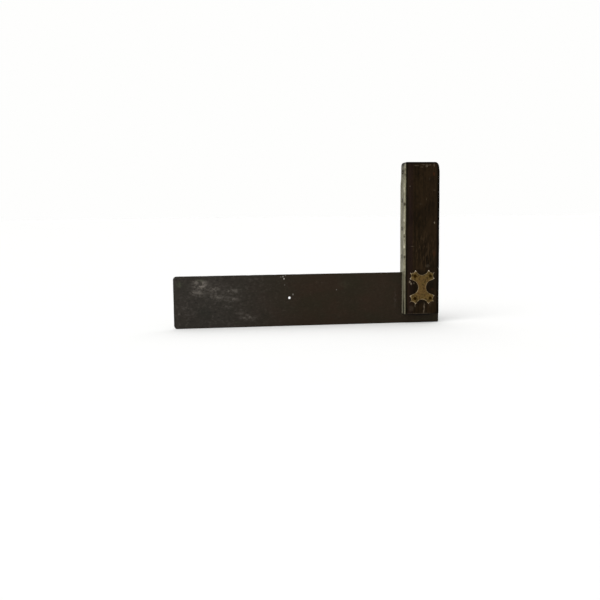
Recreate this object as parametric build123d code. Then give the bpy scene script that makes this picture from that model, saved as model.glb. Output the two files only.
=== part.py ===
from build123d import *
import os

os.makedirs("parts", exist_ok=True)

# Large joiner's try square: a steel blade riveted at right angles into a brass-faced wooden stock.
# It stands on the blade's outer edge. +X runs from the blade's tip to the stock, +Y through the
# thickness, and +Z up along the stock. The origin is at the bottom centre of the whole tool.

# Blade
blade_reach = 305.0  # from the tip to the brass face
blade_width = 68.7
blade_thickness = 2.0
blade_tip_radius = 4.5  # the two worn corners at the tip
blade_heel_radius = 1.5  # the corners inside and below the stock
blade_heel_proud = 1.6  # the heel stands past the stock's outer side, where the wood has shrunk
hang_hole_radius = 1.6
hang_hole_reach = 153.0  # from the brass face to the hole
hang_hole_height = 37.5

# Stock: the wood together with its brass face
stock_length = 202.3
stock_width = 49.5
stock_thickness = 18.5
blade_overhang = 12.5  # how far the blade's outer edge stands past the foot of the stock
stock_edge_radius = 2.4  # the worn long edges on the outer side
stock_end_round = 4.8  # the corners at the free end
stock_foot_round = 1.2
slot_clearance = 0.1  # between each side of the blade and its slot

# Brass face plate
face_thickness = 2.9

# Wood screws through the face plate, on the centre line above the blade
screw_count = 4
screw_radius = 1.7
screw_head_radius = 3.3
screw_head_height = 1.6
screw_length = 19.0
screw_tip_length = 4.0
screw_end_margin = 13.0  # from the free end of the stock to the first screw
screw_blade_margin = 21.0  # from the blade's inner edge to the last screw
driver_slot_width = 0.9
driver_slot_depth = 0.8

# Pins that hold the two prongs of the face plate beside the blade
pin_radius = 1.2
pin_length = 14.0
pin_height = 30.0  # above the foot of the stock

# Brass rivet plates, let into both sides of the stock over the blade
plate_half_width = 17.4
plate_half_height = 23.1
plate_thickness = 1.6
plate_proud = 0.15
plate_centre_reach = 25.7  # from the brass face to the plate's centre
plate_centre_height = 48.4
plate_waist_half = 5.45  # half the width left between the side bites
plate_neck_half = 16.5  # half the height left between the end bites
side_bite_radius = 9.6
end_bite_radius = 8.3
side_bite_sweep = 78.0  # degrees of its circle that each half of a bite follows
end_bite_sweep = 64.0
plate_end_tip = 9.4  # half the gap between the two points at each end
plate_side_tip = 11.5  # half the gap between the two points at each side
plate_corner_drop = 3.1  # a corner point lies this far below the end points
plate_scallop = 2.2  # depth of the small hollows between the points

# Rivets through both plates, the wood and the blade
rivet_radius = 2.15
rivet_spacing_x = 21.1
rivet_spacing_z = 29.9
rivet_offset = 0.7  # the group of rivets sits this far off the plate's centre, away from the face
rivet_proud = 0.35  # the peened end stands this far off its plate
rivet_rounding = 0.3

# Places worked out from the sizes above
overall_length = blade_reach + stock_width + blade_heel_proud
tip_x = -overall_length / 2
face_x = tip_x + blade_reach
wood_x = face_x + face_thickness
outer_x = face_x + stock_width
foot_z = blade_overhang
top_z = foot_z + stock_length
half_thickness = stock_thickness / 2
slot_half = blade_thickness / 2 + slot_clearance
plate_x = face_x + plate_centre_reach
plate_z = plate_centre_height
plate_outside = half_thickness + plate_proud
plate_inside = plate_outside - plate_thickness
rivet_end = plate_outside + rivet_proud


def block(low, high):
    """A box between two opposite corners."""
    size = [b - a for a, b in zip(low, high)]
    centre = [(a + b) / 2 for a, b in zip(low, high)]
    return Pos(*centre) * Box(*size)


def rod_through(x, z, radius, half_length):
    """A round rod along Y, centred on the blade."""
    return Pos(x, 0, z) * Rot(90, 0, 0) * Cylinder(radius, 2 * half_length)


def rounded_sheet(low, high, radii, half_depth):
    """A sheet in the XZ plane. The radii go with its corners: low-left, low-right, top-right, top-left."""
    (x0, z0), (x1, z1) = low, high
    corners = [(x0, z0), (x1, z0), (x1, z1), (x0, z1)]
    face = make_face(Polyline(*corners, close=True))
    for radius, corner in zip(radii, corners):
        nearest = min(face.vertices(), key=lambda v: (v.center() - Vector(*corner)).length)
        face = fillet(nearest, radius)
    return extrude(Plane.XZ * face, half_depth, both=True)


def hollow_arc(start, end, depth):
    """An arc between two points that sinks towards the middle of the plate."""
    middle = (Vector(*start) + Vector(*end)) / 2
    run = Vector(*end) - Vector(*start)
    inward = Vector(-run.Y, run.X).normalized()
    if inward.dot(middle) > 0:
        inward = -inward
    return ThreePointArc(start, middle + inward * depth, end)


def bite(waist, radius, half_sweep, turn, points):
    """A round bite on the plate's local +X side, turned into place, and lines out to its two points."""
    centre = Vector(waist + radius, 0)
    ends = [centre + Vector(-radius, 0).rotate(Axis.Z, sweep) for sweep in (-half_sweep, half_sweep)]
    edges = [ThreePointArc(ends[0], Vector(waist, 0), ends[1])]
    for end, point in zip(ends, points):
        edges.append(Line(end, Vector(*point)))
    return [Rot(0, 0, turn) * edge for edge in edges]


def rivet_plate_outline():
    """A block bitten into at all four sides, which leaves three points at each corner."""
    corner_height = plate_half_height - plate_corner_drop
    edges = []
    for across in (1, -1):
        for up in (1, -1):
            end = (plate_end_tip * across, plate_half_height * up)
            corner = (plate_half_width * across, corner_height * up)
            side = (plate_half_width * across, plate_side_tip * up)
            edges.append(hollow_arc(end, corner, plate_scallop))
            edges.append(hollow_arc(corner, side, plate_scallop))
    side_points = [(plate_half_width, plate_side_tip), (plate_half_width, -plate_side_tip)]
    end_points = [(plate_half_height, plate_end_tip), (plate_half_height, -plate_end_tip)]
    for turn in (0, 180):
        edges += bite(plate_waist_half, side_bite_radius, side_bite_sweep, turn, side_points)
        edges += bite(plate_neck_half, end_bite_radius, end_bite_sweep, turn + 90, end_points)
    return make_face(edges)


def rivet_places():
    """The name and the centre of each rivet."""
    places = {}
    for row, up in (("upper", 1), ("lower", -1)):
        for column, across in (("inner", -1), ("outer", 1)):
            x = plate_x + rivet_offset + across * rivet_spacing_x / 2
            z = plate_z + up * rivet_spacing_z / 2
            places[f"rivet_{row}_{column}"] = (x, z)
    return places


def screw_heights():
    """The heights of the face screws, evenly spaced from the free end down to the blade."""
    highest = top_z - screw_end_margin
    lowest = blade_width + screw_blade_margin
    step = (highest - lowest) / (screw_count - 1)
    return [highest - i * step for i in range(screw_count)]


def make_blade():
    """The blade with its hanging hole and rivet holes."""
    low = (tip_x, 0)
    high = (outer_x + blade_heel_proud, blade_width)
    tip, heel = blade_tip_radius, blade_heel_radius
    blade = rounded_sheet(low, high, (tip, heel, heel, tip), blade_thickness / 2)
    blade -= rod_through(face_x - hang_hole_reach, hang_hole_height, hang_hole_radius, blade_thickness)
    for x, z in rivet_places().values():
        blade -= rod_through(x, z, rivet_radius, blade_thickness)
    return blade


def make_stock_envelope():
    """The outside shape that the wood and the brass face share, with the blade's slot cut."""
    end, foot = stock_end_round, stock_foot_round
    side_view = rounded_sheet((face_x, foot_z), (outer_x, top_z), (foot, foot, end, end), half_thickness)
    plan = block((face_x, -half_thickness, foot_z), (outer_x, half_thickness, top_z))
    worn_edges = plan.edges().filter_by(Axis.Z).group_by(Axis.X)[-1]
    envelope = fillet(worn_edges, stock_edge_radius) & side_view
    slot = block((face_x - 1, -slot_half, foot_z - 1), (outer_x + 1, slot_half, blade_width))
    return envelope - slot


def make_rivet_plate(side):
    """A rivet plate, side -1 for the front of the tool and +1 for the back."""
    sheet = extrude(Plane.XZ * rivet_plate_outline(), plate_thickness / 2, both=True)
    plate = Pos(plate_x, side * (plate_outside + plate_inside) / 2, plate_z) * sheet
    for x, z in rivet_places().values():
        plate -= rod_through(x, z, rivet_radius, rivet_end + 1)
    return plate


def make_rivet(x, z):
    """A rivet with a peened, slightly domed end on each plate."""
    rod = rod_through(x, z, rivet_radius, rivet_end)
    return fillet(rod.edges().filter_by(GeomType.CIRCLE), rivet_rounding)


def screw_body(z):
    """A countersunk wood screw along X before its driver slot is cut, flush with the brass face."""
    section = Polyline(
        (0, 0),
        (screw_head_radius, 0),
        (screw_radius, screw_head_height),
        (screw_radius, screw_length - screw_tip_length),
        (0, screw_length),
        close=True,
    )
    turned = revolve(Plane.XZ * make_face(section), Axis.Z)
    return Pos(face_x, 0, z) * Rot(0, 90, 0) * turned


def make_screw(z):
    """A face screw with its driver slot lying across the plate."""
    slot_low = (face_x - 1, -screw_head_radius - 1, z - driver_slot_width / 2)
    slot_high = (face_x + driver_slot_depth, screw_head_radius + 1, z + driver_slot_width / 2)
    return screw_body(z) - block(slot_low, slot_high)


def make_pin(side):
    """A plain pin through one prong of the face plate, filed flush."""
    prong_middle = (slot_half + half_thickness) / 2
    pin = Rot(0, 90, 0) * Cylinder(pin_radius, pin_length)
    return Pos(face_x + pin_length / 2, side * prong_middle, foot_z + pin_height) * pin


screw_places = screw_heights()
screws = {f"face_screw_{i + 1}": make_screw(z) for i, z in enumerate(screw_places)}
pins = {"front_prong_pin": make_pin(-1), "back_prong_pin": make_pin(1)}
rivets = {name: make_rivet(x, z) for name, (x, z) in rivet_places().items()}
rivet_plates = {"front_rivet_plate": make_rivet_plate(-1), "back_rivet_plate": make_rivet_plate(1)}

# The wood and the brass face are one block, drilled together and then parted at the glue line.
drilled = make_stock_envelope()
for z in screw_places:
    drilled -= screw_body(z)
for pin in pins.values():
    drilled -= pin
brass_side = block((face_x - 1, -stock_thickness, foot_z - 1), (wood_x, stock_thickness, top_z + 1))
face_plate = drilled & brass_side

# The wood is hollowed for the rivet plates and drilled for the rivets.
stock = drilled - brass_side
for plate in rivet_plates.values():
    stock -= plate
for x, z in rivet_places().values():
    stock -= rod_through(x, z, rivet_radius, rivet_end + 1)

nodes = {"blade": make_blade(), "stock": stock, "face_plate": face_plate}
nodes.update(rivet_plates)
nodes.update(rivets)
nodes.update(screws)
nodes.update(pins)
for name, shape in nodes.items():
    export_step(shape, f"parts/{name}.step")
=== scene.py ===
from math import degrees, pi, radians

import bmesh
import bpy
from mathutils import Matrix, Vector, kdtree, noise


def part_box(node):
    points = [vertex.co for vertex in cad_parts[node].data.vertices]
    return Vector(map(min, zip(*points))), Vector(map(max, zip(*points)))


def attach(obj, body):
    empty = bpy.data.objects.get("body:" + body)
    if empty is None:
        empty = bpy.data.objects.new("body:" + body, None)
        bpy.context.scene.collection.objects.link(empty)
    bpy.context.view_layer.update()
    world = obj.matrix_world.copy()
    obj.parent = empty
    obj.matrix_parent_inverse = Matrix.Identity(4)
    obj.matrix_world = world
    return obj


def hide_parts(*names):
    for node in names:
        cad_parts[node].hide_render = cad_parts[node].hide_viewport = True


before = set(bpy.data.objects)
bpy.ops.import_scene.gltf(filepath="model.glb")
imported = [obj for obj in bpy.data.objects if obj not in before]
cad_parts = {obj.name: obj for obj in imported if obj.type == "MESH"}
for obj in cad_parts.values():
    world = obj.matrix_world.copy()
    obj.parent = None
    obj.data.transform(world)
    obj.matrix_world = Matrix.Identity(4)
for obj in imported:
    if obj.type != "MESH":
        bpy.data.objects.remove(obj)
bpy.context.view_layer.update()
mm = 0.001
print("frame loaded:", len(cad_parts), "nodes")


# shader helpers

def shade(red, green, blue):
    # a colour given as 0 to 255, turned into the linear values that sockets take
    parts = [c / 255 for c in (red, green, blue)]
    linear = [c / 12.92 if c <= 0.04045 else ((c + 0.055) / 1.055) ** 2.4 for c in parts]
    return (*linear, 1.0)


class Wire:
    # a socket that can stand in a sum: every operator adds a Math node
    def __init__(self, paint, socket):
        self.paint = paint
        self.socket = socket

    def sum(self, operation, first, second):
        return self.paint.node("ShaderNodeMath", {"operation": operation}, {0: first, 1: second})

    def __add__(self, other):
        return self.sum("ADD", self, other)

    __radd__ = __add__

    def __mul__(self, other):
        return self.sum("MULTIPLY", self, other)

    __rmul__ = __mul__

    def __sub__(self, other):
        return self.sum("SUBTRACT", self, other)

    def __rsub__(self, other):
        return self.sum("SUBTRACT", other, self)

    def capped(self):
        return self.sum("MINIMUM", self, 1.0)


class Paint:
    # one material and the few node shapes that this tool's finishes are made from
    def __init__(self, name):
        self.material = bpy.data.materials.new(name)
        self.material.use_nodes = True
        self.tree = self.material.node_tree
        self.tree.nodes.clear()
        self.spot = self.node("ShaderNodeTexCoord", out="Object")

    def node(self, kind, settings=None, sockets=None, out=0):
        made = self.tree.nodes.new(kind)
        for key, value in (settings or {}).items():
            setattr(made, key, value)
        for key, value in (sockets or {}).items():
            if isinstance(value, Wire):
                self.tree.links.new(value.socket, made.inputs[key])
            else:
                made.inputs[key].default_value = value
        return Wire(self, made.outputs[out])

    def stretched(self, across, through, up, shift=0.0):
        # the object's own place, in units of so many millimetres along each axis
        scale = [1 / (mm * size) for size in (across, through, up)]
        return self.node("ShaderNodeMapping", None,
                         {"Vector": self.spot, "Scale": scale, "Location": (shift, shift * 0.7, -shift)})

    def noise(self, across, through, up, detail=4.0, roughness=0.55, warp=0.0, shift=0.0):
        return self.node("ShaderNodeTexNoise", None, {
            "Vector": self.stretched(across, through, up, shift), "Scale": 1.0, "Detail": detail,
            "Roughness": roughness, "Distortion": warp})

    def band(self, value, low, high):
        # 0 below low, 1 above high, and a smooth step between them
        return self.node("ShaderNodeMapRange", {"interpolation_type": "SMOOTHSTEP"},
                         {"Value": value, "From Min": low, "From Max": high})

    def mix(self, factor, first, second):
        return self.node("ShaderNodeMix", {"data_type": "RGBA"}, {0: factor, 6: first, 7: second}, out=2)

    def axis(self, letter):
        return self.node("ShaderNodeSeparateXYZ", None, {0: self.spot}, out=letter)

    def oval(self, centre, halves, spot=None, core=0.4):
        # 1 inside the oval's core, fading to 0 at its edge
        # halves are its half sizes in millimetres, with 0 for endless
        scale = [1 / (mm * half) if half else 0 for half in halves]
        scaled = self.node("ShaderNodeVectorMath", {"operation": "MULTIPLY"},
                           {0: spot or self.spot, 1: scale})
        heart = [c * s for c, s in zip(centre, scale)]
        away = self.node("ShaderNodeVectorMath", {"operation": "DISTANCE"},
                         {0: scaled, 1: heart}, out="Value")
        return self.band(away, 1.0, core)

    def ragged(self, size, reach):
        # the object's own place, pushed about so that marks get uneven outlines
        push = self.node("ShaderNodeTexNoise", None, {"Vector": self.stretched(size, size, size, 40),
                                                      "Scale": 1.0, "Detail": 3.0}, out="Color")
        centred = self.node("ShaderNodeVectorMath", {"operation": "SUBTRACT"}, {0: push, 1: (0.5, 0.5, 0.5)})
        return self.node("ShaderNodeVectorMath", {"operation": "MULTIPLY_ADD"},
                         {0: centred, 1: (reach * mm,) * 3, 2: self.spot})

    def marks(self, corner, places, spot, deep=3.0, core=0.4):
        # one sum of soft ovals: along and up from the corner, half width, half height and strength of each
        total = 0.0
        for along, up, wide, tall, strength in places:
            centre = (corner.x + along * mm, corner.y, corner.z + up * mm)
            total = self.oval(centre, (wide, deep, tall), spot, core) * strength + total
        return total.capped()

    def finish(self, height, bumpDepth, **sockets):
        bump = self.node("ShaderNodeBump", None, {"Strength": 1.0, "Distance": bumpDepth, "Height": height})
        named = {key.replace("_", " "): value for key, value in sockets.items()}
        shader = self.node("ShaderNodeBsdfPrincipled", None, {**named, "Normal": bump})
        end = self.tree.nodes.new("ShaderNodeOutputMaterial")
        self.tree.links.new(shader.socket, end.inputs[0])
        return self.material


# mesh helpers

def copyNode(name):
    # a clean copy of a CAD node: one shell, with its flat faces whole again
    bm = bmesh.new()
    bm.from_mesh(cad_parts[name].data)
    bmesh.ops.remove_doubles(bm, verts=bm.verts, dist=0.002 * mm)
    bmesh.ops.dissolve_limit(bm, angle_limit=radians(0.6), verts=bm.verts, edges=bm.edges)
    return bm


def lathe(bm, axis, centre, profile, steps=40):
    # spins a profile of (radius, distance along the axis) points about an axis through the centre
    # the profile is in millimetres
    line = Vector([1.0 if letter == axis else 0.0 for letter in "XYZ"])
    side = Vector((0, 0, 1))
    verts = [bm.verts.new(centre + side * radius * mm + line * along * mm) for radius, along in profile]
    edges = [bm.edges.new(pair) for pair in zip(verts, verts[1:])]
    bmesh.ops.spin(bm, geom=verts + edges, cent=centre, axis=line, angle=2 * pi, steps=steps, use_merge=True)
    bmesh.ops.remove_doubles(bm, verts=bm.verts, dist=0.001 * mm)
    bmesh.ops.recalc_face_normals(bm, faces=bm.faces)


def toObject(bm, name):
    mesh = bpy.data.meshes.new(name)
    bm.to_mesh(mesh)
    bm.free()
    made = bpy.data.objects.new(name, mesh)
    bpy.context.scene.collection.objects.link(made)
    return made


def carve(piece, cutterMesh):
    # takes the cutter's solids out of the piece
    cutter = toObject(cutterMesh, "cutter")
    step = piece.modifiers.new("carve", "BOOLEAN")
    step.operation = "DIFFERENCE"
    step.solver = "EXACT"
    step.object = cutter
    bpy.context.view_layer.update()
    carved = bpy.data.meshes.new_from_object(piece.evaluated_get(bpy.context.evaluated_depsgraph_get()))
    piece.modifiers.clear()
    piece.data = carved
    bpy.data.objects.remove(cutter)


def soften(bm, edges, size, segments):
    # a rounded bevel, its size in millimetres
    bmesh.ops.bevel(bm, geom=edges, offset=size * mm, offset_type="OFFSET", affect="EDGES",
                    segments=segments, profile=0.5, material=-1, clamp_overlap=True)


def onSharpRim(edge, axis, position):
    # whether this is a sharp edge in the plane at that position along the axis
    inPlane = all(abs(v.co[axis] - position) < 1e-6 for v in edge.verts)
    return inPlane and len(edge.link_faces) == 2 and edge.calc_face_angle() > 0.5


def place(piece, material, slotName, *nodes, smooth=32):
    # the last step for every piece: shading, finish, a place under the root body, and hiding the CAD nodes
    # it replaces
    piece.data.materials.clear()
    piece.data.materials.append(material)
    for face in piece.data.polygons:
        face.use_smooth = True
        face.material_index = 0
    piece.data.set_sharp_from_angle(angle=radians(smooth))
    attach(piece, "root")
    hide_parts(*nodes)


# sizes read from the frame

bladeLow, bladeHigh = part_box("blade")
woodLow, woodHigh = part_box("stock")
faceLow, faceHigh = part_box("face_plate")
plateLow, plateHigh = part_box("front_rivet_plate")
rivetNames = [f"rivet_{row}_{side}" for row in ("upper", "lower") for side in ("inner", "outer")]
screwNames = [f"face_screw_{i}" for i in (1, 2, 3, 4)]
pinNames = ["front_prong_pin", "back_prong_pin"]
faceX = faceLow.x  # the brass working face
outerX = woodHigh.x
footZ = woodLow.z
topZ = woodHigh.z
sideY = woodHigh.y
plateCentre = (plateLow + plateHigh) / 2
slotGap = 0.1 * mm  # between each side of the blade and its slot


def middle(node):
    low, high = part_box(node)
    return (low + high) / 2


def radiusOf(node, axis):
    # half the width of a rivet, screw or pin along one axis, in millimetres
    low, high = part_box(node)
    return (high[axis] - low[axis]) / 2 / mm


rivetR = radiusOf(rivetNames[0], 0)
pinR = radiusOf(pinNames[0], 2)
screwHeadR = radiusOf(screwNames[0], 2)
screwShankR = 1.7  # millimetres, as are the next
screwHeadDepth = 1.6
screwLength = 19.0
screwTipLength = 4.0
pinLength = 14.0


# camera

cameraSetup = {
    "lens": 48.0,
    "aim": (-0.0119, 0.0, 0.0342),  # a point on the blade, near its middle
    "distance": 1.0635,  # metres from that point
    "heading": 7.77,  # degrees, towards the stock
    "pitch": -6.22,
    "roll": -0.56,
}


def makeCamera():
    data = bpy.data.cameras.new("camera")
    data.lens = cameraSetup["lens"]
    data.sensor_width = 36.0
    data.clip_end = 100.0
    camera = bpy.data.objects.new("camera", data)
    bpy.context.scene.collection.objects.link(camera)
    turn = (Matrix.Rotation(radians(-cameraSetup["heading"]), 4, "Z")
            @ Matrix.Rotation(radians(90 + cameraSetup["pitch"]), 4, "X")
            @ Matrix.Rotation(radians(cameraSetup["roll"]), 4, "Z"))
    back = turn @ Vector((0, 0, cameraSetup["distance"]))
    camera.matrix_world = Matrix.Translation(Vector(cameraSetup["aim"]) + back) @ turn
    bpy.context.scene.camera = camera


makeCamera()
print("camera set")


# finishes

woodLook = {
    "dark": shade(20, 14, 6),
    "brown": shade(44, 32, 18),
    "pale": shade(68, 54, 38),
    "red": shade(62, 33, 16),
    "violet": shade(37, 24, 24),
    "worn": shade(124, 112, 94),
    # grime, also the painted shade on the outer and top arrises
    "grimeAndShade": shade(9, 7, 4),
    # along from the brass, up from the foot, half width, half height in millimetres, and strength
    "scuffsAndFootHighlight": [(17, 197.5, 5, 1.0, 0.22), (24, 195.5, 3, 1.0, 0.20), (31, 197.0, 2.0, 2.6, 0.45),
               (34.5, 198.2, 3.5, 0.9, 0.34), (41, 198, 1.2, 3.2, 0.36), (27, 198.6, 4, 0.8, 0.30),
               (42, 122, 0.9, 1.9, 1.2), (8.4, 170.5, 1.2, 1.1, 0.32), (31, 153.5, 0.7, 2.4, 0.35),
               (42, 165, 2.2, 0.9, 0.2), (34.6, 180, 0.6, 3.0, 0.14), (23, 147, 3.0, 0.8, 0.12),
               (11.3, 91, 4.2, 0.5, 0.42), (33, 64.5, 4.0, 3.0, 0.18), (8.6, 43.5, 1.5, 2.4, 1.1),
               (10.4, 41, 1.5, 2.2, 1.3), (14, 41.5, 1.2, 1.4, 0.5), (28.6, 9.5, 1.1, 7.0, 0.8),
               (28, 3, 1.3, 2.4, 0.5), (16, 13, 0.8, 6.5, 0.45), (37, 12, 0.8, 5, 0.16),
               # the last of these, a pale line along the foot, is partly a worn arris and partly a painted
               # highlight where that arris catches the light
               (10.8, 7.5, 4.5, 5.5, 0.14), (22, 0.4, 24, 0.9, 0.34)],
    "backScuffs": [(12, 186, 2, 4, 0.35), (38, 122, 1.4, 6, 0.3), (30, 82, 4, 0.8, 0.3),
                   (20, 3, 8, 1.4, 0.3)],
    "redPatches": [(41, 186.4, 1.9, 3.2, 0.9), (42, 81, 2.8, 5.5, 0.55), (39.5, 33, 2.4, 2.2, 0.4)],
}


def woodFinish():
    paint = Paint("oldRosewood")
    # long streaks of the growth rings, bent a little along the stock
    streak = paint.noise(2.6, 2.6, 110, detail=5, roughness=0.6, warp=0.4)
    fine = paint.noise(0.6, 0.6, 13, detail=4, roughness=0.65, shift=4)
    cloud = paint.noise(15, 15, 30, detail=3, roughness=0.6, shift=9)
    pores = paint.band(paint.noise(0.28, 0.28, 5.5, detail=2, roughness=0.5, shift=2), 0.62, 0.74)
    tone = paint.band(streak, 0.28, 0.72)
    colour = paint.mix(tone * 0.32 + paint.band(cloud, 0.3, 0.7) * 0.55, woodLook["dark"], woodLook["brown"])
    colour = paint.mix(paint.band(fine, 0.50, 0.72) * 0.4, colour, woodLook["brown"])
    dashes = paint.noise(1.7, 1.7, 8, detail=3, roughness=0.6, shift=31)
    colour = paint.mix(paint.band(dashes, 0.52, 0.68) * 0.5, colour, woodLook["brown"])
    colour = paint.mix(paint.band(dashes, 0.46, 0.34) * 0.4, colour, woodLook["grimeAndShade"])
    flame = paint.oval((faceX + 27 * mm, 0, footZ + 86 * mm), (24, 0, 36), core=0.3)
    colour = paint.mix(paint.band(dashes, 0.50, 0.64) * flame * 0.36, colour, woodLook["pale"])
    colour = paint.mix(pores * 0.6, colour, woodLook["grimeAndShade"])
    # a violet stripe beside the joint, as rosewood has, and a darker ring past it
    across = paint.axis("X") + (streak - 0.5) * (3 * mm)
    stripe = paint.band(across, faceX + 5.2 * mm, faceX + 7.5 * mm)
    stripe = stripe * paint.band(across, faceX + 14 * mm, faceX + 11 * mm)
    colour = paint.mix(stripe * (0.25 + tone * 0.35), colour, woodLook["violet"])
    ring = paint.band(across, faceX + 13.6 * mm, faceX + 15 * mm)
    ring = ring * paint.band(across, faceX + 17.4 * mm, faceX + 15.8 * mm)
    colour = paint.mix(ring * 0.3, colour, woodLook["grimeAndShade"])
    # the outer and top arrises are painted darker as painted shade, where they turn from the light; the wood
    # is darker along the joint, and dirt has settled round the plates
    ragged = paint.ragged(1.5, 2.6)
    rim = paint.band(paint.axis("X"), outerX - 5.2 * mm, outerX - 3.0 * mm)
    rim = rim + paint.band(paint.axis("Z"), topZ - 3.2 * mm, topZ - 1.9 * mm) * 0.8
    rim = rim + paint.band(paint.axis("X"), faceX + 5.6 * mm, faceX + 4.4 * mm) * 0.85
    rim = rim + paint.oval((plateCentre.x, 0, plateCentre.z), (20, 0, 26), ragged, 0.75) * 0.4
    colour = paint.mix((rim * (0.7 + fine * 0.3)).capped(), colour, woodLook["grimeAndShade"])
    # the free end shows its end grain inside a dirty border
    endGrain = paint.oval(((outerX + faceX) / 2, 0, topZ), (26, 9.5, 2.4), ragged, 0.6)
    growth = paint.noise(1.5, 16, 3, detail=3, roughness=0.5, shift=11)
    colour = paint.mix(endGrain * (0.3 + paint.band(growth, 0.42, 0.60) * 0.35), colour, woodLook["brown"])
    # knocks and rubbed places, most of them on the front; the pale line along the front's foot is partly a
    # worn arris and partly a painted highlight
    front = Vector((faceX, -sideY, footZ))
    breakUp = paint.band(paint.noise(0.8, 0.8, 1.8, detail=4, roughness=0.7, shift=21), 0.36, 0.62)
    worn = paint.marks(front, woodLook["scuffsAndFootHighlight"], ragged) * (0.25 + breakUp * 0.75)
    back = Vector((faceX, sideY, footZ))
    behind = paint.marks(back, woodLook["backScuffs"], ragged)
    worn = worn + behind * breakUp
    redness = paint.marks(front, woodLook["redPatches"], ragged)
    colour = paint.mix(redness * 0.7, colour, woodLook["red"])
    colour = paint.mix(worn.capped(), colour, woodLook["worn"])
    height = streak * 0.2 + fine * 0.35 - pores * 0.7 - worn * 0.4
    roughness = 0.60 + fine * 0.12 + worn * 0.15 - tone * 0.08
    return paint.finish(height, 0.0001, Base_Color=colour, Roughness=roughness,
                        Specular_IOR_Level=0.03, IOR=1.5)


brassLook = {
    "bare": shade(146, 142, 117),
    "dull": shade(108, 103, 82),
    "stain": shade(66, 59, 42),
    "grey": shade(118, 118, 106),
    "rubbedAndLit": shade(206, 200, 174),
    # grime, also the painted shade on the rounded top arris
    "grimeAndShade": shade(34, 30, 19),
    # places on the front arris: along, up, half width, half height and strength
    "nicks": [(0.6, 198, 2.0, 5, 0.9), (0.4, 126, 1.6, 3, 0.7), (0.4, 90.5, 1.6, 2.6, 1.1),
              (0.4, 168, 1.4, 2, 0.5), (0.4, 110, 1.4, 4, 0.4), (0.4, 64, 1.4, 3, 0.3)],
    "dirt": [(1.2, 147, 2.6, 2.6, 0.9), (0.8, 77, 2.8, 2.8, 0.8), (1.4, 186, 2.2, 2.0, 0.4),
             (1.0, 104, 2.4, 1.6, 0.5), (1.0, 57, 2.2, 2, 0.5), (2.0, 201.8, 4.0, 1.6, 1.0)],
}


def brassFinish():
    paint = Paint("dullBrass")
    cloud = paint.noise(9, 9, 22, detail=5, roughness=0.62, shift=3)
    mottle = paint.noise(1.6, 1.6, 3.4, detail=5, roughness=0.7, shift=13)
    brush = paint.noise(0.25, 0.25, 14, detail=2, roughness=0.5, shift=17)
    colour = paint.mix(paint.band(cloud, 0.36, 0.62), brassLook["dull"], brassLook["bare"])
    colour = paint.mix(paint.band(mottle, 0.54, 0.72) * 0.6, colour, brassLook["stain"])
    colour = paint.mix(paint.band(mottle, 0.42, 0.30) * 0.5, colour, brassLook["grey"])
    # the two arrises are rubbed bright where they meet the work, more in some places than others
    arris = paint.oval((faceX, -sideY, 0), (2.0, 2.0, 0)) + paint.oval((faceX, sideY, 0), (2.0, 2.0, 0))
    patchy = paint.band(paint.noise(3, 3, 7, detail=4, roughness=0.6, shift=27), 0.40, 0.62)
    corner = Vector((faceX, -sideY, footZ))
    ragged = paint.ragged(1.2, 1.2)
    high = paint.band(paint.axis("Z"), bladeHigh.z - 12 * mm, bladeHigh.z + 20 * mm)
    bright = arris * patchy * (0.2 + high * 0.35) + paint.marks(corner, brassLook["nicks"], ragged)
    colour = paint.mix(bright.capped(), colour, brassLook["rubbedAndLit"])
    colour = paint.mix(paint.marks(corner, brassLook["dirt"], ragged), colour, brassLook["stain"])
    # the lower part is darker
    low = paint.band(paint.axis("Z"), footZ + 64 * mm, footZ + 22 * mm)
    colour = paint.mix(low * 0.5, colour, brassLook["stain"])
    # each prong is painted paler beside the blade, as painted light on brass that the blade would shade, and
    # is black along its arris near the foot
    for side in (-1, 1):
        paleBesideBlade = paint.oval((faceX, side * 3.0 * mm, footZ), (1.5, 2.3, 78), core=0.5)
        colour = paint.mix(paleBesideBlade * 0.95, colour, brassLook["rubbedAndLit"])
        arrisSpot = (faceX, side * (sideY - 1.6 * mm), footZ)
        darkArris = paint.oval(arrisSpot, (1.6, 3.0, 31), paint.ragged(1.6, 0.8), 0.7)
        colour = paint.mix(darkArris * 0.85, colour, brassLook["grimeAndShade"])
    joint = paint.band(paint.axis("X"), faceHigh.x - 0.7 * mm, faceHigh.x - 0.1 * mm)
    colour = paint.mix(joint * 0.6, colour, brassLook["stain"])
    # darker towards the free end, with painted shade on its rounded top arris, and stained round the first
    # screw
    top = paint.band(paint.axis("Z"), topZ - 9 * mm, topZ - 5 * mm) * 0.4
    top = top + paint.band(paint.axis("Z"), topZ - 3.4 * mm, topZ - 2.0 * mm) * 0.35
    top = top + paint.oval((faceX, 0, topZ), (2.0, 16, 7.5), ragged, 0.7) * 0.6
    colour = paint.mix(top.capped(), colour, brassLook["grimeAndShade"])
    stain = paint.oval((faceX, 0.0, topZ - 11.5 * mm), (9, 11, 11))
    colour = paint.mix(stain * paint.band(mottle, 0.4, 0.6) * 0.8, colour, brassLook["stain"])
    height = mottle * 0.4 + brush * 0.35 + cloud * 0.3
    roughness = 0.40 + paint.band(mottle, 0.35, 0.75) * 0.22 + brush * 0.08
    return paint.finish(height, 0.0001, Base_Color=colour, Roughness=roughness, Metallic=0.5,
                        Specular_IOR_Level=0.3)


plateLook = {
    "tarnish": shade(118, 95, 50),
    "warm": shade(118, 88, 50),
    "deep": shade(48, 37, 17),
    "rubbedAndLit": shade(156, 138, 106),
    "tip": shade(222, 208, 190),
}


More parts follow.
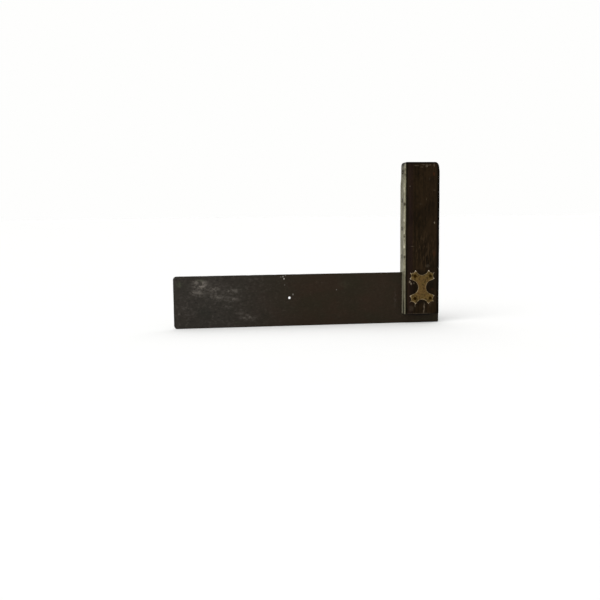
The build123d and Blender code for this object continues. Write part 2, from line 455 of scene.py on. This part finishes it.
def rivetPlateFinish():
    paint = Paint("tarnishedBrass")
    cloud = paint.noise(7, 7, 7, detail=4, roughness=0.6, shift=5)
    mottle = paint.noise(1.5, 1.5, 2.2, detail=5, roughness=0.7, shift=8)
    blotch = paint.noise(3.0, 3.0, 3.0, detail=4, roughness=0.65, shift=33)
    tarnished = paint.band(mottle, 0.40, 0.58) * 0.55 + paint.band(blotch, 0.40, 0.58) * 0.45
    colour = paint.mix(tarnished, plateLook["deep"], plateLook["tarnish"])
    heart = paint.oval((plateCentre.x, 0, plateCentre.z), (16, 0, 20))
    colour = paint.mix(heart * paint.band(cloud, 0.3, 0.6) * 0.5, colour, plateLook["warm"])
    dashes = paint.band(paint.noise(1.3, 1.3, 3.4, detail=3, roughness=0.6, shift=43), 0.54, 0.66)
    colour = paint.mix(dashes * 0.6, colour, plateLook["deep"])
    # the plate's own measure of how far each place lies from the outline and from the nearest point
    gap = paint.node("ShaderNodeAttribute", {"attribute_name": "edgeGap"}, out="Fac")
    tipGap = paint.node("ShaderNodeAttribute", {"attribute_name": "tipGap"}, out="Fac")
    # a paler rim, partly worn brass and partly a painted highlight where the rolled rim catches the light,
    # and painted highlights on the points, brighter on the upper half
    uneven = paint.band(blotch, 0.40, 0.58)
    rim = paint.band(gap, 1.2, 0.3) * (0.15 + uneven * 0.6)
    colour = paint.mix(rim, colour, plateLook["rubbedAndLit"])
    upper = paint.band(paint.axis("Z"), plateCentre.z - 10 * mm, plateCentre.z + 10 * mm)
    tip = paint.band(tipGap, 2.9, 0.6) * (0.45 + uneven * 0.35) * (0.45 + upper * 0.55)
    colour = paint.mix(tip, colour, plateLook["tip"])
    height = mottle * 0.6 + cloud * 0.3
    roughness = 0.42 + paint.band(mottle, 0.3, 0.7) * 0.2
    return paint.finish(height, 0.00012, Base_Color=colour, Roughness=roughness, Metallic=0.9)


bladeLook = {
    "brown": shade(50, 40, 30),
    "russet": shade(54, 40, 30),
    "olive": shade(46, 40, 29),
    "tipGrey": shade(57, 54, 50),
    "pale": shade(128, 121, 113),
    # grime, also the painted shade on the blade below the stock's foot
    "grimeAndShade": shade(17, 17, 18),
    "slate": shade(38, 39, 33),
    "green": shade(84, 88, 70),
    "fleck": shade(226, 222, 212),
    # reach from the brass face, height, half width, half height in millimetres, and strength
    "cloudsAndReflection": [(-271, 60, 14, 5.5, 0.80), (-269, 55, 15, 4.5, 0.85), (-274, 46.5, 14, 6.5, 0.50),
               (-254, 51.5, 13, 6, 0.40), (-229, 47.5, 16, 5, 0.50), (-230, 37, 15, 5, 0.40),
               (-248, 41, 14, 7, 0.30), (-292, 26.3, 3, 3.4, 0.45), (-297.7, 19.3, 2.6, 3, 0.40),
               (-255, 15.3, 2.2, 3.4, 0.30), (-234.5, 27.4, 6, 4, 0.22), (-208, 12.8, 17, 6, 0.42),
               (-218, 20, 10, 6, 0.20), (-262, 52, 34, 17, 0.14), (-240, 42, 34, 14, 0.12),
               # the last, a tall pale streak beside the brass face, is a painted reflection
               (-198, 63.5, 18, 2.4, 0.14), (-9.5, 33, 2.0, 19, 0.14)],
    "darkened": [(-266, 20, 17, 13, 0.5), (-230, 24, 16, 6, 0.2)],
    "backClouds": [(-281, 24, 16, 7, 0.4), (-252, 44, 20, 9, 0.25), (-120, 58, 24, 5, 0.25),
                   (-60, 20, 16, 9, 0.2)],
    "greens": [(-297, 58.5, 7, 5.5, 0.75), (-270, 62.8, 10, 3, 0.6), (-223, 6.6, 5, 2.5, 0.5),
               (-78, 54, 14, 9, 0.16)],
    "flecks": [(-161.3, 66.0, 1.0, 1.5, 0.32), (-160.0, 63.0, 0.9, 1.0, 0.95),
               (-164.2, 65.4, 1.2, 0.7, 0.16), (-158.2, 67.4, 0.7, 0.8, 0.30),
               (-159.4, 54.8, 1.2, 1.3, 0.08), (-148.3, 42.0, 0.65, 1.8, 0.34),
               (-89.7, 46.9, 0.8, 0.8, 0.28)],
}


def bladeFinish():
    paint = Paint("agedSteel")
    cloud = paint.noise(60, 60, 30, detail=4, roughness=0.55, warp=0.6, shift=2)
    drift = paint.noise(22, 22, 14, detail=4, roughness=0.6, shift=19)
    mottle = paint.noise(3.4, 3.4, 2.2, detail=6, roughness=0.62, shift=6)
    pits = paint.band(paint.noise(0.9, 0.9, 0.9, detail=3, roughness=0.6, shift=12), 0.60, 0.70)
    grindLines = paint.noise(40, 4, 0.35, detail=2, roughness=0.5, shift=15)
    colour = paint.mix(paint.band(cloud, 0.34, 0.66), bladeLook["olive"], bladeLook["brown"])
    colour = paint.mix(paint.band(drift, 0.45, 0.75) * 0.5, colour, bladeLook["russet"])
    # the tip third has lost its brown skin
    tipShare = paint.band(paint.axis("X"), bladeLow.x + 190 * mm, bladeLow.x + 40 * mm)
    colour = paint.mix(tipShare * (0.55 + drift * 0.4), colour, bladeLook["tipGrey"])
    speckle = paint.noise(4.2, 4.2, 2.8, detail=5, roughness=0.65, shift=25)
    colour = paint.mix(paint.band(speckle, 0.5, 0.72) * (0.03 + tipShare * 0.12), colour, bladeLook["pale"])
    colour = paint.mix(paint.band(speckle, 0.46, 0.3) * (0.08 + tipShare * 0.3), colour, bladeLook["grimeAndShade"])
    # pale worn cloud patches and one painted reflection, a tall streak beside the brass face, eaten into by
    # dark pitting, and a little green at the tip
    ragged = paint.ragged(5.0, 6.0)
    eaten = paint.band(paint.noise(4.6, 4.6, 3.2, detail=5, roughness=0.65, shift=51), 0.40, 0.58)
    soft = 0.10 + eaten * 0.90
    front = Vector((faceX, bladeLow.y, bladeLow.z))
    back = Vector((faceX, bladeHigh.y, bladeLow.z))
    darkened = paint.marks(front, bladeLook["darkened"], ragged, 1.9, 0.1)
    colour = paint.mix(darkened, colour, bladeLook["slate"])
    greens = paint.marks(front, bladeLook["greens"], ragged, 1.9, 0.1) * (0.35 + soft * 0.65)
    colour = paint.mix(greens * 0.8, colour, bladeLook["green"])
    cloudsAndReflection = paint.marks(front, bladeLook["cloudsAndReflection"], ragged, 1.9, 0.0)
    cloudsAndReflection = cloudsAndReflection + paint.marks(back, bladeLook["backClouds"], ragged, 1.9, 0.0)
    colour = paint.mix((cloudsAndReflection * soft).capped(), colour, bladeLook["pale"])
    # black at the very tip, and painted shade on the strip of blade below the stock's foot, which the
    # stock's overhang shadows
    tipEdge = paint.band(paint.axis("X"), bladeLow.x + 1.9 * mm, bladeLow.x + 0.4 * mm)
    footShade = paint.oval((faceX + 26 * mm, 0, footZ), (32, 0, 4.2), core=0.5)
    colour = paint.mix((tipEdge * 0.6 + footShade * 0.7).capped(), colour, bladeLook["grimeAndShade"])
    crisp = paint.ragged(0.8, 0.7)
    colour = paint.mix(paint.marks(front, bladeLook["flecks"], crisp, 0.9), colour, bladeLook["fleck"])
    height = mottle * 0.5 + grindLines * 0.25 - pits * 0.7
    roughness = 0.46 + paint.band(mottle, 0.3, 0.7) * 0.2
    return paint.finish(height, 0.00012, Base_Color=colour, Roughness=roughness, Metallic=0.75,
                        Specular_IOR_Level=0.2)


ironLook = {
    "rivet": (shade(30, 17, 1), shade(66, 45, 6)),  # the dark and the light of its mottle
    "screw": (shade(62, 56, 44), shade(104, 98, 80)),
}


def ironFinish(name, dark, light):
    paint = Paint(name)
    mottle = paint.noise(0.8, 0.8, 0.8, detail=4, roughness=0.65, shift=7)
    colour = paint.mix(paint.band(mottle, 0.4, 0.68), dark, light)
    roughness = 0.45 + mottle * 0.25
    return paint.finish(mottle, 0.0001, Base_Color=colour, Roughness=roughness, Metallic=0.95,
                        Specular_IOR_Level=0.1)


wood = woodFinish()
brass = brassFinish()
rivetPlateBrass = rivetPlateFinish()
steel = bladeFinish()
rivetIron = ironFinish("rivetIron", *ironLook["rivet"])
screwIron = ironFinish("screwIron", *ironLook["screw"])
print("finishes made")


# stock: one blank for the wood and its brass face, worn together and then parted

stockShape = {
    "outerRound": 2.6,  # millimetres of rounding on the worn outer arrises
    "innerRound": 0.6,  # on the brass arrises
    "topRound": 1.3,
    "footRound": 0.6,
    "endCorner": (4.8, 5.4),  # the two corners of the free end, brass side first
    "endLean": 1.9,  # how far hands have worn the outer side in at the free end
    "leanLength": 13.0,  # and how far down from the end that goes
    "footCorner": 1.2,
    "ringStep": 3.0,  # spacing of the rings along the stock
    "edgeStep": 0.46,  # spacing close to the arrises
    "edgeReach": 3.2,  # how far the close spacing goes in from the broad sides
    "endReach": 6.2,  # and from the ends and the narrow sides
    "slotStrip": 3.6,  # cuts this far from the middle keep the faces beside the slot narrow
    "drift": 0.35,  # share by which the rounding varies
    "wave": 0.12,  # depth of the slow unevenness of the old surface
    "thinFrom": 172.0,  # above this height the brass face has worn thin
    "thinRamp": 11.0,  # the length over which it gets as thin as the next value says
    "thinned": 0.75,
    "thinnedMore": 0.25,  # share of that lost again over each such length further up
    # how far in from the brass face, how far up from the foot, radius and depth of each bruise
    "bruises": [
        (0.2, 150.5, 2.4, 0.50), (0.2, 92.0, 2.0, 0.45), (0.2, 84.0, 2.6, 0.55), (0.4, 30.5, 1.8, 0.35),
        (49.0, 118.0, 2.8, 0.45), (49.0, 61.0, 3.2, 0.5), (20.0, 202.0, 3.4, 0.5), (28.0, 202.0, 2.6, 0.4),
        (46.0, 190.0, 2.4, 0.35), (10.0, 0.0, 2.6, 0.4), (37.0, 0.0, 3.2, 0.45),
    ],
}


def cutAt(bm, axis, position, geometry=None):
    # cuts all of the mesh, or the part given, and returns that part as it is after the cut
    normal = Vector([1.0 if i == axis else 0.0 for i in range(3)])
    geometry = geometry or bm.verts[:] + bm.edges[:] + bm.faces[:]
    cut = bmesh.ops.bisect_plane(bm, geom=geometry, plane_co=normal * position, plane_no=normal, dist=1e-7)
    return cut["geom"]


def edgeCuts(low, high, reach, step):
    # places for cuts that crowd towards both ends of a span
    places = [step * (i + 1) * mm for i in range(int(reach / step))]
    return [low + p for p in places] + [high - p for p in places]


def blockBetween(low, high):
    bm = bmesh.new()
    spread = Matrix.Diagonal((*(high - low), 1))
    bmesh.ops.create_cube(bm, size=1.0, matrix=Matrix.Translation((low + high) / 2) @ spread)
    return bm


def squareToRound(u, v):
    # moves a point of the unit square's outer corner onto the quarter circle
    length = (u * u + v * v) ** 0.5
    scale = max(u, v) / length
    return u * scale, v * scale


def stockBlank():
    low = Vector((faceX, -sideY, footZ))
    high = Vector((outerX, sideY, topZ))
    slotHalf = bladeHigh.y + slotGap
    slotTop = bladeHigh.z
    bm = blockBetween(low, high)
    # the slot for the blade runs right across and is open at the foot
    for axis, position in ((1, -slotHalf), (1, slotHalf), (2, slotTop)):
        cutAt(bm, axis, position)
    overSlot = []
    for face in bm.faces:
        centre = face.calc_center_median()
        if abs(centre.y) < slotHalf and centre.z < slotTop:
            overSlot.append(face)
    bmesh.ops.delete(bm, geom=overSlot, context="FACES")
    rims = [e for e in bm.edges if e.is_boundary and abs(e.verts[0].co.x - e.verts[1].co.x) < 1e-6]
    bmesh.ops.bridge_loops(bm, edges=rims)
    shape = stockShape
    strip = shape["slotStrip"] * mm
    rings = int((high.z - low.z) / (shape["ringStep"] * mm))
    # cuts along, through and across, close together at the arrises
    places = [
        (2, [low.z + (high.z - low.z) * i / rings for i in range(2, rings - 1)]),
        (2, edgeCuts(low.z, high.z, shape["endReach"], shape["edgeStep"])),
        (1, edgeCuts(low.y, high.y, shape["edgeReach"], shape["edgeStep"]) + [-strip, strip]),
        (0, edgeCuts(low.x, high.x, shape["endReach"], shape["edgeStep"])),
        (0, [plateLow.x, plateCentre.x, plateHigh.x]),
    ]
    geometry = None
    for axis, positions in places:
        for position in positions:
            geometry = cutAt(bm, axis, position, geometry)
    for vert in bm.verts:
        vert.co = wornPlace(vert.co, low, high)
    bmesh.ops.recalc_face_normals(bm, faces=bm.faces)
    return bm


def wornPlace(point, low, high):
    # where a point of the square block lies on the worn stock
    shape = stockShape
    middleX, middleZ = (low.x + high.x) / 2, (low.z + high.z) / 2
    right = 1 if point.x > middleX else -1
    up = 1 if point.z > middleZ else -1
    corner = (shape["endCorner"][right > 0] if up > 0 else shape["footCorner"]) * mm
    # the side view first: distances in from the two nearest sides of the outline
    inX = min(point.x - low.x, high.x - point.x)
    inZ = min(point.z - low.z, high.z - point.z)
    if inX < corner and inZ < corner:
        u, v = squareToRound(1 - inX / corner, 1 - inZ / corner)
        inX, inZ = corner * (1 - u), corner * (1 - v)
        reach = (u * u + v * v) ** 0.5
        outward = Vector((right * u, 0, up * v)) / reach if reach else Vector((right, 0, 0))
        depth = corner * (1 - reach)
    elif inX < inZ:
        outward, depth = Vector((right, 0, 0)), inX
    else:
        outward, depth = Vector((0, 0, up)), inZ
    x = low.x + inX if right < 0 else high.x - inX
    z = low.z + inZ if up < 0 else high.z - inZ
    moved = Vector((x, point.y, z))
    # then the arris between the outline and the broad side
    drift = 1 + shape["drift"] * noise.noise(moved * 55)
    roundness = outward.x ** 2 * shape["outerRound" if right > 0 else "innerRound"]
    roundness += outward.z ** 2 * shape["topRound" if up > 0 else "footRound"]
    roundness *= drift * mm
    fromSide = sideY - abs(point.y)
    if depth < roundness and fromSide < roundness:
        u, v = squareToRound(1 - depth / roundness, 1 - fromSide / roundness)
        moved -= outward * (roundness * (1 - u) - depth)
        moved.y = (sideY - roundness * (1 - v)) * (1 if point.y > 0 else -1)
    # the brass has worn thin towards the free end
    rise = min(max((moved.z - low.z) / mm - shape["thinFrom"], 0) / shape["thinRamp"], 2.7)
    ramp = min(rise, 1)
    thin = shape["thinned"] * (ramp ** 2 * (3 - 2 * ramp) + max(rise - 1, 0) * shape["thinnedMore"])
    fromFace = (moved.x - low.x) / (faceHigh.x - faceLow.x)
    if fromFace < 1:
        moved.x += thin * mm * (1 - fromFace)
    # and the outer side leans in there
    fromMiddle = max(moved.x - middleX, 0) / (high.x - middleX)
    lean = max(1 - (high.z - moved.z) / (shape["leanLength"] * mm), 0) * fromMiddle
    moved.x -= shape["endLean"] * mm * lean ** 1.2
    # slow unevenness and bruises go inwards only
    core = Vector([min(max(c, a + 5 * mm), b - 5 * mm) for c, a, b in zip(moved, low, high)])
    inward = core - moved
    if inward.length < 1e-6:
        return moved
    inward.normalize()
    worn = shape["wave"] * mm * (0.5 + 0.5 * noise.noise(moved * 38 + Vector((3, 7, 1))))
    for along, height, radius, sink in shape["bruises"]:
        gap = (moved - Vector((low.x + along * mm, low.y, low.z + height * mm))).length / (radius * mm)
        if gap < 1:
            worn += sink * mm * (1 - gap * gap) ** 2
    return moved + inward * worn


def halfOfBlank(keepBrass):
    # parts a copy of the blank at the joint between the brass face and the wood
    bm = wornBlank.copy()
    normal = Vector((1, 0, 0)) if keepBrass else Vector((-1, 0, 0))
    geometry = bm.verts[:] + bm.edges[:] + bm.faces[:]
    bmesh.ops.bisect_plane(bm, geom=geometry, plane_co=Vector((faceHigh.x, 0, 0)), plane_no=normal,
                           dist=1e-7, clear_outer=True)
    bmesh.ops.holes_fill(bm, edges=[e for e in bm.edges if e.is_boundary], sides=0)
    bmesh.ops.recalc_face_normals(bm, faces=bm.faces)
    return bm


def addClosedPlate(beds, node):
    # the rivet plate's outside shape, with its rivet holes filled, to cut its bed in the wood
    bm = copyNode(node)
    inHole = []
    for face in bm.faces:
        for name in rivetNames:
            centre = middle(name)
            if all((v.co - centre).xz.length < rivetR * mm * 1.05 for v in face.verts):
                inHole.append(face)
    bmesh.ops.delete(bm, geom=inHole, context="FACES")
    bmesh.ops.holes_fill(bm, edges=[e for e in bm.edges if e.is_boundary], sides=0)
    mesh = bpy.data.meshes.new("bed")
    bm.to_mesh(mesh)
    bm.free()
    beds.from_mesh(mesh)
    bpy.data.meshes.remove(mesh)


def screwBores(bm, gap):
    # room for the face screws and prong pins, with a hair of gap round each and past its end
    head, shank = screwHeadR + gap, screwShankR + gap
    screwEnd, pinEnd = screwLength + 1, pinLength + 0.3
    for name in screwNames:
        start = Vector((faceX, 0, middle(name).z))
        lathe(bm, "X", start, [(0, -1), (head, -1), (head, 0), (shank, screwHeadDepth),
                               (shank, screwEnd - screwTipLength), (0, screwEnd)])
    for name in pinNames:
        start = Vector((faceX, middle(name).y, middle(name).z))
        lathe(bm, "X", start, [(0, -1), (pinR + gap, -1), (pinR + gap, pinEnd), (0, pinEnd)])


def rivetBores(bm, half):
    # room for the four rivets, out to half a length on each side of the middle
    radius = rivetR + 0.02
    for name in rivetNames:
        lathe(bm, "Y", middle(name), [(0, -half), (radius, -half), (radius, half), (0, half)])


def makeStockWood():
    piece = toObject(halfOfBlank(False), "stockWood")
    beds = bmesh.new()
    for node in ("front_rivet_plate", "back_rivet_plate"):
        addClosedPlate(beds, node)
    carve(piece, beds)
    bores = bmesh.new()
    rivetBores(bores, 15)
    screwBores(bores, 0.03)
    carve(piece, bores)
    place(piece, wood, "stock_wood", "stock")


def makeBrassFace():
    piece = toObject(halfOfBlank(True), "brassFace")
    bores = bmesh.new()
    screwBores(bores, 0.07)
    carve(piece, bores)
    place(piece, brass, "brass", "face_plate")


wornBlank = stockBlank()
makeStockWood()
makeBrassFace()
wornBlank.free()
print("stock and brass face made")


# rivet plates, rivets, screws and pins

plateShape = {
    "gridStep": 0.45,  # millimetres between the cuts that let the rim roll over
    "rimWidth": 0.95,  # how far in from the outline the rim rolls over
    "rimDrop": 0.26,  # and how far it sinks at the outline
    "sharpPoint": 55,  # degrees of turn that make a corner of the outline one of its points
}


def outlineOf(bm, outside):
    # the edges round the plate's outer face, without its rivet holes
    outline = []
    for edge in bm.edges:
        if onSharpRim(edge, 1, outside):
            start = edge.verts[0].co
            if all((start - middle(name)).xz.length > rivetR * mm * 1.05 for name in rivetNames):
                outline.append(edge)
    return outline


def treeOf(points):
    tree = kdtree.KDTree(len(points))
    for i, point in enumerate(points):
        tree.insert(point, i)
    tree.balance()
    return tree


def platePattern():
    # the front plate with its rim rolled over, and the two measures that its finish uses
    shape = plateShape
    bm = copyNode("front_rivet_plate")
    outside = plateLow.y
    outline = outlineOf(bm, outside)
    dense = []
    points = []
    for edge in outline:
        a, b = (v.co.copy() for v in edge.verts)
        dense += [a.lerp(b, i / 6) for i in range(6)]
        for vert in edge.verts:
            others = [e.other_vert(vert).co - vert.co for e in vert.link_edges if e in outline]
            if len(others) == 2 and 180 - degrees(others[0].angle(others[1])) > shape["sharpPoint"]:
                points.append(vert.co.copy())
    nearOutline, nearPoint = treeOf(dense), treeOf(points)
    cap = [f for f in bm.faces if all(abs(v.co.y - outside) < 1e-6 for v in f.verts)]
    geometry = cap + list({e for f in cap for e in f.edges}) + list({v for f in cap for v in f.verts})
    step = shape["gridStep"] * mm
    for axis in (2, 0):
        for i in range(1, int((plateHigh[axis] - plateLow[axis]) / step) + 1):
            geometry = cutAt(bm, axis, plateLow[axis] + i * step, geometry)
    gapLayer = bm.verts.layers.float.new("edgeGap")
    tipLayer = bm.verts.layers.float.new("tipGap")
    for vert in bm.verts:
        flat = Vector((vert.co.x, outside, vert.co.z))
        gap = nearOutline.find(flat)[2] / mm
        vert[gapLayer] = gap
        vert[tipLayer] = nearPoint.find(flat)[2] / mm
        if abs(vert.co.y - outside) < 1e-6 and gap < shape["rimWidth"]:
            vert.co.y += shape["rimDrop"] * mm * (1 - gap / shape["rimWidth"]) ** 2
    return bm


def makeRivetPlate(node, name, side):
    bm = wornPlate.copy()
    if side > 0:
        bmesh.ops.scale(bm, vec=(1, -1, 1), verts=bm.verts)
        bmesh.ops.reverse_faces(bm, faces=bm.faces)
    place(toObject(bm, name), rivetPlateBrass, "brass_rivet_plate", node)


rivetShape = {
    "dome": 0.34,  # millimetres from the edge of the hammered end to its top
    "dents": 0.10,  # how deep the hammer has marked it
}


def makeRivet(node):
    centre = middle(node)
    end = (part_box(node)[1].y - centre.y) / mm
    flat = end - rivetShape["dome"]
    half = [(rivetR, 0), (rivetR, flat - 0.05), (rivetR * 0.97, flat + 0.04), (rivetR * 0.88, flat + 0.14)]
    half += [(rivetR * 0.66, end - 0.09), (rivetR * 0.36, end - 0.02), (0, end)]
    profile = [(r, -a) for r, a in reversed(half[1:])] + half[1:]
    bm = bmesh.new()
    lathe(bm, "Y", centre, profile, steps=36)
    # hammered ends are never quite round or even
    for vert in bm.verts:
        sink = rivetShape["dents"] * mm * (1 + noise.noise(vert.co * 900)) / 2
        if abs(vert.co.y - centre.y) > flat * mm:
            vert.co.y -= sink * (1 if vert.co.y > centre.y else -1)
    place(toObject(bm, "rivet_" + node[6:]), rivetIron, "rivet_iron", node)


screwShape = {
    "lip": 0.12,  # millimetres of softening round the head and its driver slot
}


def makeScrew(node):
    bm = copyNode(node)
    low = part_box(node)[0]
    soften(bm, [edge for edge in bm.edges if onSharpRim(edge, 0, low.x)], screwShape["lip"], 2)
    place(toObject(bm, "faceScrew_" + node[-1]), screwIron, "screw_iron", node)


def makePin(node):
    low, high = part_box(node)
    start = Vector((low.x, middle(node).y, middle(node).z))
    length = (high.x - low.x) / mm
    bm = bmesh.new()
    lathe(bm, "X", start, [(0, 0.0), (pinR * 0.6, 0.02), (pinR * 0.9, 0.08), (pinR, 0.2),
                           (pinR, length - 0.2), (pinR * 0.8, length), (0, length)], steps=28)
    place(toObject(bm, "prongPin_" + node.split("_")[0]), brass, "brass", node)


wornPlate = platePattern()
print("rivet plate pattern made")
makeRivetPlate("front_rivet_plate", "rivetPlateFront", -1)
makeRivetPlate("back_rivet_plate", "rivetPlateBack", 1)
wornPlate.free()
for name in rivetNames:
    makeRivet(name)
for name in screwNames:
    makeScrew(name)
for name in pinNames:
    makePin(name)
print("plates, rivets, screws and pins made")


# blade

bladeShape = {
    "tipCorner": 4.5,  # radius of the two worn corners at the tip, in millimetres as are the rest
    "heelCorner": 1.5,
    "arris": 0.3,
    "step": 2.0,  # spacing of the cuts that let the edges wear unevenly
    "wear": 0.16,  # how deep the edges are worn in places
    "wearReach": 1.0,  # what lies this near the edge moves with it
    "holeRadius": 1.6,
    "holeReach": 153.0,  # from the brass face
    "holeHeight": 37.5,
    "holeEase": (0.25, 0.2),  # how far the hole's rims are eased, across and deep
}


def makeBlade():
    shape = bladeShape
    bm = blockBetween(bladeLow, bladeHigh)
    for atTip, radius in ((True, shape["tipCorner"]), (False, shape["heelCorner"])):
        corners = []
        for edge in bm.edges:
            a, b = edge.verts
            upright = abs(a.co.x - b.co.x) < 1e-7 and abs(a.co.z - b.co.z) < 1e-7
            if upright and (a.co.x < 0) == atTip:
                corners.append(edge)
        soften(bm, corners, radius, 8)
    outline = []
    for edge in bm.edges:
        flat = [abs(face.normal.y) > 0.9 for face in edge.link_faces]
        if flat.count(True) == 1:
            outline.append(edge)
    soften(bm, outline, shape["arris"], 2)
    length = bladeHigh.x - bladeLow.x
    count = int(length / (shape["step"] * mm))
    for i in range(3, count - 1):
        cutAt(bm, 0, bladeLow.x + length * i / count)
    inside = (shape["wearReach"] + 0.5) * mm
    for z in (bladeLow.z + inside, bladeHigh.z - inside):
        cutAt(bm, 2, z)
    for vert in bm.verts:
        edge = min(vert.co.z - bladeLow.z, bladeHigh.z - vert.co.z)
        if edge < shape["wearReach"] * mm:
            nick = max(0.0, noise.noise(vert.co * 120 + Vector((5, 0, 2)))) ** 2 * shape["wear"] * mm * 3
            vert.co.z += nick if vert.co.z < bladeHigh.z / 2 else -nick
    piece = toObject(bm, "bladeSteel")
    holes = bmesh.new()
    half = bladeHigh.y / mm
    r = shape["holeRadius"]
    centre = Vector((faceX - shape["holeReach"] * mm, 0, shape["holeHeight"] * mm))
    wide, deep = r + shape["holeEase"][0], half - shape["holeEase"][1]
    lathe(holes, "Y", centre, [(0, -2), (wide, -2), (wide, -half), (r, -deep), (r, deep),
                               (wide, half), (wide, 2), (0, 2)], steps=36)
    rivetBores(holes, 2)
    carve(piece, holes)
    place(piece, steel, "blade_steel", "blade")


makeBlade()
print("blade made")


# floor and studio light

studio = {
    "floor": shade(243, 243, 241),
    "floorCloud": shade(236, 236, 234),
    "floorRadius": 30.0,
    "skyForEye": shade(254, 254, 253),
    "skyForLight": (0.30, 0.30, 0.31, 1.0),
    # very broad suns are soft boxes that light the floor evenly: direction, strength and spread
    "suns": {"keySoft": ((0.45, 0.62, -1.0), 1.9, 50), "topSoft": ((-0.25, -0.45, -1.0), 1.3, 80)},
}


def makeFloor():
    bm = bmesh.new()
    bmesh.ops.create_circle(bm, cap_ends=True, segments=96, radius=studio["floorRadius"])
    floor = toObject(bm, "floor")
    paint = Paint("paleFloor")
    cloud = paint.noise(60, 60, 60, detail=3, roughness=0.5)
    colour = paint.mix(cloud * 0.2, studio["floor"], studio["floorCloud"])
    roughness = 0.9 + cloud * 0.05
    floor.data.materials.append(paint.finish(cloud, 0.0001, Base_Color=colour, Roughness=roughness,
                                             Specular_IOR_Level=0.1))


def makeSun(name, toward, strength, spread):
    data = bpy.data.lights.new(name, "SUN")
    data.energy = strength
    data.angle = radians(spread)
    lamp = bpy.data.objects.new(name, data)
    bpy.context.scene.collection.objects.link(lamp)
    lamp.matrix_world = Vector(toward).to_track_quat("-Z", "Y").to_matrix().to_4x4()


def makeWorld():
    world = bpy.data.worlds.new("studio")
    bpy.context.scene.world = world
    world.use_nodes = True
    tree = world.node_tree
    tree.nodes.clear()
    path = tree.nodes.new("ShaderNodeLightPath")
    pick = tree.nodes.new("ShaderNodeMix")
    pick.data_type = "RGBA"
    pick.inputs[6].default_value = studio["skyForLight"]
    pick.inputs[7].default_value = studio["skyForEye"]
    sky = tree.nodes.new("ShaderNodeBackground")
    end = tree.nodes.new("ShaderNodeOutputWorld")
    tree.links.new(path.outputs["Is Camera Ray"], pick.inputs[0])
    tree.links.new(pick.outputs[2], sky.inputs["Color"])
    tree.links.new(sky.outputs[0], end.inputs[0])


makeFloor()
makeWorld()
for name, (toward, strength, spread) in studio["suns"].items():
    makeSun(name, toward, strength, spread)
bpy.context.scene.view_settings.view_transform = "Standard"
print("studio ready")
